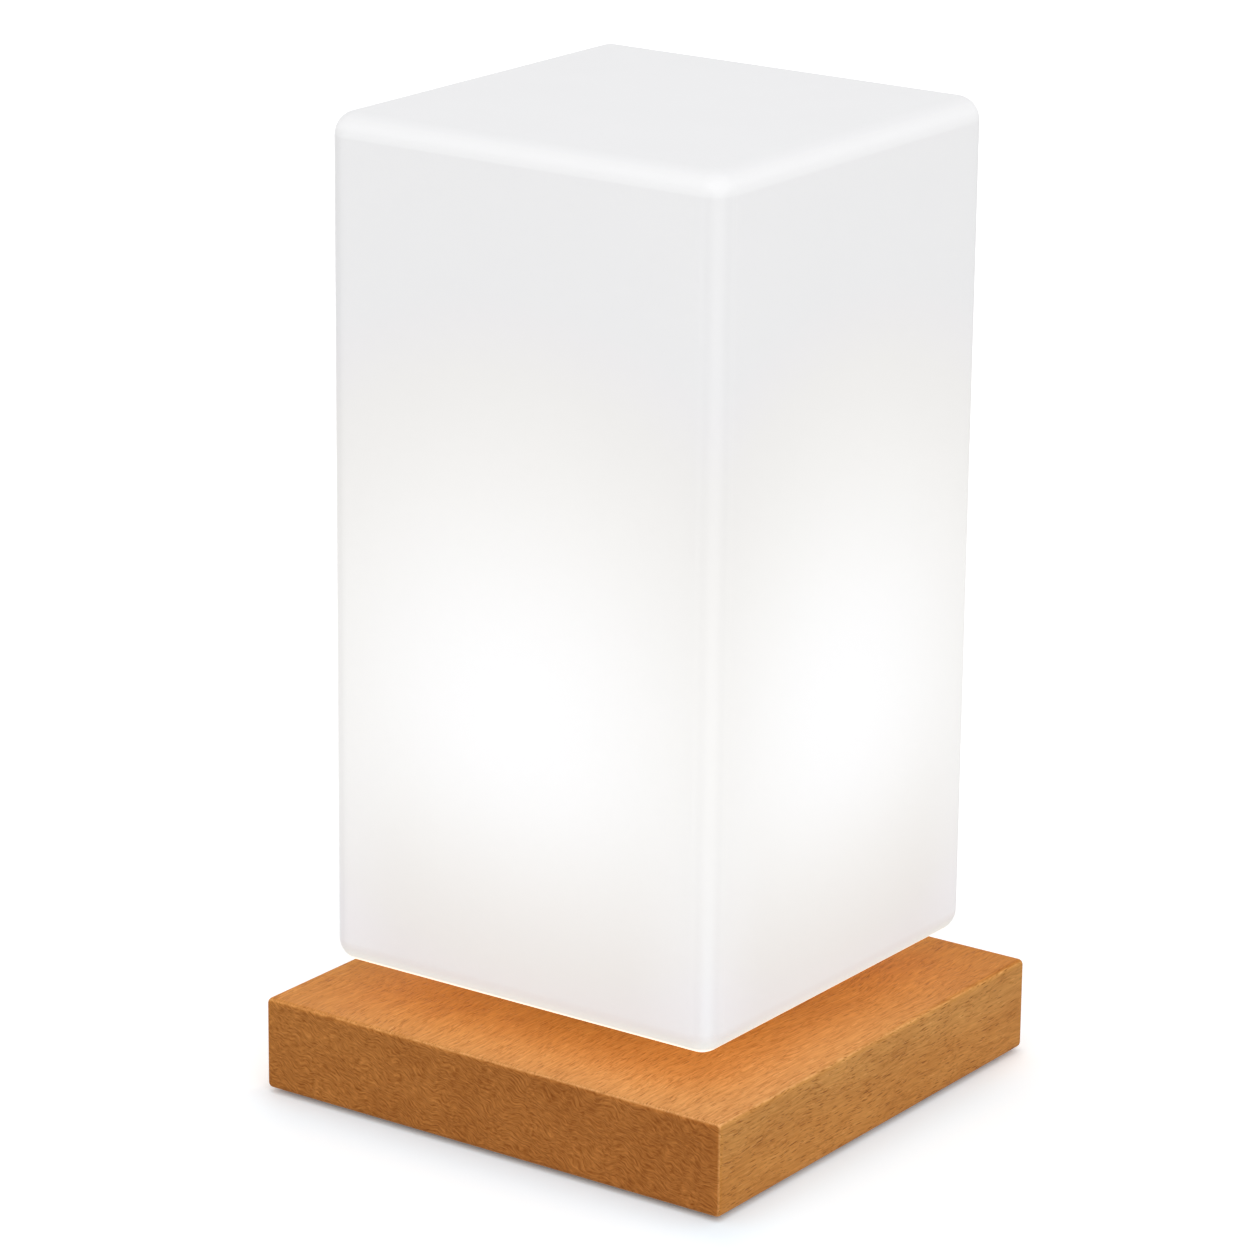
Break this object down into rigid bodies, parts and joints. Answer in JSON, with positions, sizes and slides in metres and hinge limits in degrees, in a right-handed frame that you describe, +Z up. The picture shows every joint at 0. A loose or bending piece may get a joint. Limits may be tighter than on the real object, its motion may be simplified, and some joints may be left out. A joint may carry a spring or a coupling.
{
  "type": "led table lamp",
  "caption": "Cordless table lamp: a tall rounded-box translucent shade floating on a bayonet neck above a square beech base, with cells, light source and push switch inside.",
  "frame": {"origin": "middle of the footprint on the table", "axes": "+Z up the lamp; X and Y along the sides of the square base, -Y out of the end-grain face"},
  "size_m": [0.12, 0.12, 0.218],
  "materials": {
    "shade_plastic": "matt translucent white moulding, lit from inside",
    "beech": "oiled beech, satin",
    "pad_rubber": "matt",
    "white_moulding": "fine matt texture",
    "silicone": "matt translucent silicone",
    "zinc_screw": "bright zinc",
    "circuit_board": "solder-masked laminate",
    "component_black": "moulded epoxy",
    "button_grey": "fine matt texture",
    "socket_steel": "drawn stainless steel",
    "clear_pipe": "clear polished moulding",
    "cell_can": "sleeved steel can",
    "nickel_strip": "bright nickel",
    "wire_sleeve": "silicone sleeve",
    "plate_aluminium": "fine turned",
    "light_board": "white solder mask",
    "light_chip": "phosphor",
    "opal": "satin opal moulding"
  },
  "bodies": {
    "base": {"wood_base": "beech", "foot_pads": "pad_rubber", "neck_collar": "white_moulding", "shade_gasket": "silicone", "module_screws": "zinc_screw", "module_housing": "white_moulding", "bottom_cover": "white_moulding", "cover_seal": "silicone", "cover_screws": "zinc_screw", "control_board": "circuit_board", "board_screws": "zinc_screw", "board_components": "component_black", "switch_body": "component_black", "charge_socket_shell": "socket_steel", "charge_socket_tongue": "component_black", "charge_indicator": "clear_pipe", "battery_cells": "cell_can", "cell_cradle_lower": "white_moulding", "cell_cradle_upper": "white_moulding", "cradle_screws": "zinc_screw", "battery_tabs": "nickel_strip", "battery_leads": "wire_sleeve", "led_leads": "wire_sleeve", "led_plate": "plate_aluminium", "led_board": "light_board", "led_chips": "light_chip", "led_screws": "zinc_screw", "led_cap": "opal"},
    "shade": {"shade": "shade_plastic"},
    "power_button": {"power_button": "button_grey", "switch_plunger": "component_black"}
  },
  "joints": [
    {"name": "shade_twist", "type": "hinge", "parent": "base", "child": "shade", "pos_m": [0, 0, 0.03], "axis": [0, 0, 1], "range_deg": [0, 31]},
    {"name": "power_button_press", "type": "slide", "parent": "base", "child": "power_button", "axis": [0, 0, 1], "range_m": [0, 0.0008], "stiffness_N_per_m": 3000}
  ]
}
